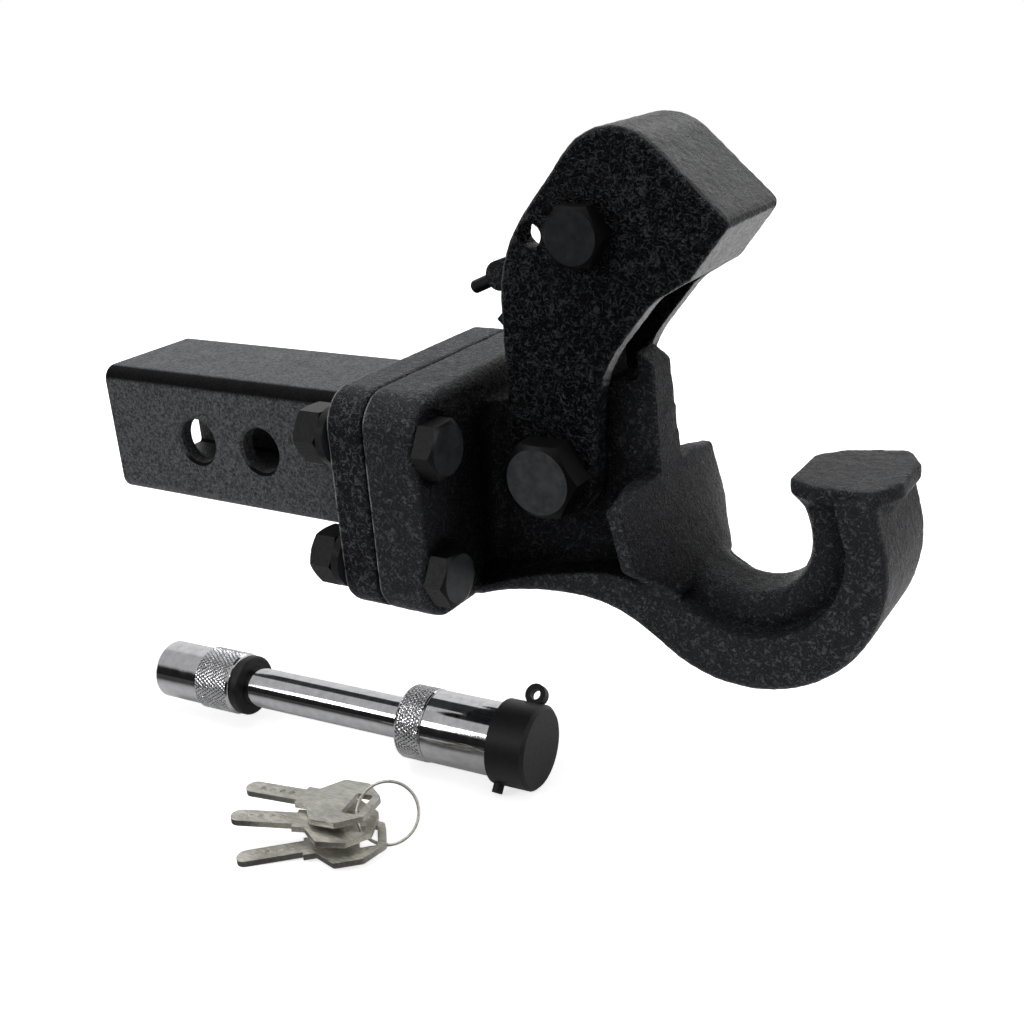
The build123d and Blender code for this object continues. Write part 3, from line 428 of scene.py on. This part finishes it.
def cast_skin(node, body, smooth_steps, swell_mm, material, melt=False):
    skin = add_object(node + "_skin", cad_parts[node].data.copy())
    remesh = skin.modifiers.new("Voxels", "REMESH")
    remesh.mode = "VOXEL"
    remesh.voxel_size = VOXEL_MM * MM
    remesh.use_smooth_shade = True
    smooth_modifier(skin, "Rounding", smooth_steps)
    bake_modifiers(skin)
    if melt:
        melt_throat(skin)
    mesh = skin.data
    low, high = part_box(node)
    normals = [vertex.normal.copy() for vertex in mesh.vertices]
    for vertex, normal in zip(mesh.vertices, normals):
        moved = vertex.co + normal * unevenness(vertex.co / MM) * swell_mm * MM
        vertex.co = [min(max(moved[axis], low[axis]), high[axis]) for axis in range(3)]
    shade_smooth(mesh)
    paint(skin, material)
    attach(skin, body)
    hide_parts(node)


cast_skin("hook_casting", "hitch", 4, 0.20, cast_coat, melt=True)
cast_skin("latch_casting", "latch", 3, 0.20, latch_coat)
cast_skin("mount_plate", "hitch", 3, 0.14, plate_coat)


# Turned parts of the loose pin, with the diamond knurl cut into their bands. Profiles are (radius, distance
# along the pin's axis), in millimetres
Knurl = namedtuple("Knurl", "start end grooves pitch")
KNURL_DEPTH = 0.42
KNURL_STEP = 0.22
GROOVE_SHARPNESS = 1.7
SEGMENTS_PER_GROOVE = 8
SHARP_ANGLE = math.radians(28)
TINY = 1e-6
SLACK = 0.01


def pin_matrix():
    along = Vector((math.cos(PIN_YAW), math.sin(PIN_YAW), 0))
    up = Vector((0, 0, 1))
    side = up.cross(along)
    matrix = Matrix((side, up, along)).transposed().to_4x4()
    matrix.translation = PIN_START
    return matrix


def knurl_radius(radius, angle, z, knurl):
    turn = knurl.grooves * angle / 2
    climb = math.pi * z / knurl.pitch
    groove = min(abs(math.sin(turn + climb)), abs(math.sin(turn - climb)))
    return radius - KNURL_DEPTH * (1 - min(1.0, GROOVE_SHARPNESS * groove))


def profile_rows(profile, knurl):
    """The profile's corners, with more rows between them where the knurl is cut."""
    rows = []
    for (r0, z0), (r1, z1) in zip(profile, profile[1:]):
        rows.append((r0, z0, False))
        if abs(r0 - r1) < TINY and knurl.start - SLACK <= z0 and z1 <= knurl.end + SLACK:
            steps = int((z1 - z0) / KNURL_STEP)
            rows += [(r0, z0 + (z1 - z0) * i / steps, True) for i in range(1, steps)]
    rows.append((*profile[-1], False))
    return rows


def turned(name, profile, body, node, material, knurl):
    segments = SEGMENTS_PER_GROOVE * knurl.grooves
    build = bmesh.new()
    rings = []
    for radius, z, cut in profile_rows(profile, knurl):
        if radius < TINY:
            rings.append([build.verts.new((0, 0, z))])
            continue
        ring = []
        for i in range(segments):
            angle = 2 * math.pi * i / segments
            r = knurl_radius(radius, angle, z, knurl) if cut else radius
            ring.append(build.verts.new((r * math.cos(angle), r * math.sin(angle), z)))
        rings.append(ring)
    for first, second in zip(rings, rings[1:]):
        for i in range(segments):
            j = (i + 1) % segments
            corners = [
                first[i % len(first)], first[j % len(first)],
                second[j % len(second)], second[i % len(second)],
            ]
            unique = list(dict.fromkeys(corners))
            if len(unique) > 2:
                build.faces.new(unique)
    bmesh.ops.recalc_face_normals(build, faces=build.faces)
    mesh = bpy.data.meshes.new(name)
    build.to_mesh(mesh)
    build.free()
    mesh.transform(Matrix.Scale(MM, 4) @ pin_matrix())
    shade_smooth(mesh)
    mesh.set_sharp_from_angle(angle=SHARP_ANGLE)
    obj = add_object(name, mesh)
    paint(obj, material)
    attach(obj, body)
    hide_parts(node)


HEAD_PROFILE = [
    (0, 0), (10.3, 0), (11.2, 0.35), (11.7, 1.2), (11.7, 21.6), (12.0, 21.65), (12.5, 22.1),
    (12.5, 37.4), (12.0, 38.2), (11.3, 38.6), (7.98, 38.6), (7.98, 10.8), (0, 10.8), (0, 0),
]
HEAD_KNURL = Knurl(22.0, 37.5, 46, 2.3)
turned("knurled_pin_head", HEAD_PROFILE, "lock_pin", "pin_head", chrome, HEAD_KNURL)

BARREL_PROFILE = [
    (8.25, 117.7), (13.1, 117.7), (13.7, 118.1), (14.0, 118.7), (14.0, 128.4), (13.8, 129.0), (13.4, 129.2),
    (13.7, 129.5), (13.7, 169.2), (13.1, 169.8), (7.58, 169.8), (7.58, 152.8), (8.25, 152.8), (8.25, 117.7),
]
BARREL_KNURL = Knurl(118.6, 128.5, 50, 2.3)
turned("knurled_lock_barrel", BARREL_PROFILE, "lock_head", "lock_barrel", chrome, BARREL_KNURL)


# Camera, from the fit of the photo's edges
def aim_camera():
    back = Vector((
        math.sin(CAMERA_YAW) * math.cos(CAMERA_PITCH),
        -math.cos(CAMERA_YAW) * math.cos(CAMERA_PITCH),
        math.sin(CAMERA_PITCH),
    ))
    forward = -back
    right = forward.cross(Vector((0, 0, 1))).normalized()
    up = right.cross(forward)
    image_right = math.cos(CAMERA_ROLL) * right + math.sin(CAMERA_ROLL) * up
    image_up = math.cos(CAMERA_ROLL) * up - math.sin(CAMERA_ROLL) * right
    data = bpy.data.cameras.new("Camera")
    data.lens = CAMERA_LENS
    data.sensor_width = SENSOR_WIDTH
    data.clip_start = 0.01
    data.clip_end = 20
    camera = add_object("Camera", data)
    matrix = Matrix((image_right, image_up, back)).transposed().to_4x4()
    matrix.translation = CAMERA_PLACE * MM
    camera.matrix_world = matrix
    bpy.context.scene.camera = camera


aim_camera()

# Studio: soft lights, in metres and watts, a pale floor and a white background
LIGHT_TARGET = Vector((0.1, 0.0, 0.0))


def soft_light(name, place, size, watts):
    data = bpy.data.lights.new(name, "AREA")
    data.shape = "RECTANGLE"
    data.size, data.size_y = size
    data.energy = watts
    light = add_object(name, data)
    light.location = place
    light.rotation_euler = (LIGHT_TARGET - Vector(place)).to_track_quat("-Z", "Y").to_euler()


soft_light("Overhead", (-0.05, 0.05, 0.95), (0.8, 0.5), 6.5)
soft_light("Front left", (-0.45, -0.85, 0.45), (0.25, 0.25), 1.6)
soft_light("Right side", (1.0, 0.10, 0.35), (0.3, 0.6), 2.5)
soft_light("Back", (0.25, 0.95, 0.65), (0.9, 0.5), 1.4)


def seen_rays(tree):
    """1 on camera rays and 0 on the rest, and 1 on mirrored and refracted rays."""
    path = tree.nodes.new("ShaderNodeLightPath")
    mirrored = tree.nodes.new("ShaderNodeMath")
    mirrored.operation = "MAXIMUM"
    tree.links.new(path.outputs["Is Glossy Ray"], mirrored.inputs[0])
    tree.links.new(path.outputs["Is Transmission Ray"], mirrored.inputs[1])
    return path.outputs["Is Camera Ray"], mirrored.outputs["Value"]


def ramp(tree, value, low, high, to_low, to_high):
    node = tree.nodes.new("ShaderNodeMapRange")
    node.interpolation_type = "SMOOTHSTEP"
    for name, number in (("From Min", low), ("From Max", high), ("To Min", to_low), ("To Max", to_high)):
        node.inputs[name].default_value = number
    tree.links.new(value, node.inputs["Value"])
    return node.outputs["Result"]


FLOOR_HALF = 1.6
GLOW_START, GLOW_END, GLOW_NEAR, GLOW_FAR = 0.25, 0.6, 0.72, 1.0
DARK_FLOOR_Y, PALE_FLOOR_Y, DARK_FLOOR = -0.10, -0.045, 0.03
MIRRORED_GLOW = 0.05


# Pale paper: it glows to the white of the background away from the object, and mirrored rays find the unlit
# end of the room on it, in front of the object
def make_floor():
    mesh = bpy.data.meshes.new("Floor")
    half, z = FLOOR_HALF, (FLOOR_Z - FLOOR_GAP) * MM
    corners = [(-half, -half, z), (half, -half, z), (half, half, z), (-half, half, z)]
    mesh.from_pydata(corners, [], [(0, 1, 2, 3)])
    floor = add_object("Floor", mesh)
    shader = Shader("Floor paper")
    tree = shader.tree
    camera, mirrored = seen_rays(tree)
    distance = tree.nodes.new("ShaderNodeVectorMath")
    distance.operation = "LENGTH"
    tree.links.new(shader.coords, distance.inputs[0])
    glow = ramp(tree, distance.outputs["Value"], GLOW_START, GLOW_END, GLOW_NEAR, GLOW_FAR)
    front = ramp(tree, shader.along("Y"), DARK_FLOOR_Y, PALE_FLOOR_Y, DARK_FLOOR, 1.0)
    emission = shader.maths("ADD", shader.times(camera, glow), shader.times(mirrored, MIRRORED_GLOW))
    unlit = shader.times(mirrored, shader.maths("SUBTRACT", 1.0, front))
    lit = shader.maths("SUBTRACT", 1.0, unlit)
    paper = shader.mix(shader.noise(40, 2.0, 0.5), (0.93, 0.93, 0.93), (0.95, 0.95, 0.95))
    shader.colour(shader.mix(lit, (0.0, 0.0, 0.0), paper))
    shader.put("Roughness", 0.9)
    shader.put("Specular IOR Level", 0.0)
    shader.put("Emission Color", (1, 1, 1, 1))
    shader.link(emission, shader.body.inputs["Emission Strength"])
    paint(floor, shader.material)


make_floor()

WHITE = 1.0
FILL_LIGHT = 0.28
BEHIND_START, BEHIND_END = -0.20, 0.35
ABOVE_START, ABOVE_END, LOW_FRONT, HIGH_FRONT = 0.34, 0.52, 0.02, 0.65


# White background. Mirrored rays see it white behind the object, pale overhead and dark low in front, and
# the other rays find an even fill light
def make_world():
    world = bpy.data.worlds.new("Studio")
    bpy.context.scene.world = world
    world.use_nodes = True
    tree = world.node_tree
    tree.nodes.clear()
    output = tree.nodes.new("ShaderNodeOutputWorld")
    light = tree.nodes.new("ShaderNodeBackground")
    light.inputs["Color"].default_value = (1, 1, 1, 1)
    coords = tree.nodes.new("ShaderNodeTexCoord")
    parts = tree.nodes.new("ShaderNodeSeparateXYZ")
    tree.links.new(coords.outputs["Generated"], parts.inputs["Vector"])
    behind = ramp(tree, parts.outputs["Y"], BEHIND_START, BEHIND_END, 0.0, WHITE)
    above = ramp(tree, parts.outputs["Z"], ABOVE_START, ABOVE_END, LOW_FRONT, HIGH_FRONT)
    room = tree.nodes.new("ShaderNodeMath")
    room.operation = "MAXIMUM"
    tree.links.new(behind, room.inputs[0])
    tree.links.new(above, room.inputs[1])
    camera, mirrored = seen_rays(tree)
    strength = tree.nodes.new("ShaderNodeMix")
    strength.inputs["A"].default_value = FILL_LIGHT
    tree.links.new(mirrored, strength.inputs["Factor"])
    tree.links.new(room.outputs["Value"], strength.inputs["B"])
    final = tree.nodes.new("ShaderNodeMix")
    final.inputs["B"].default_value = WHITE
    tree.links.new(camera, final.inputs["Factor"])
    tree.links.new(strength.outputs["Result"], final.inputs["A"])
    tree.links.new(final.outputs["Result"], light.inputs["Strength"])
    tree.links.new(light.outputs["Background"], output.inputs["Surface"])


make_world()
bpy.context.scene.view_settings.view_transform = "Standard"
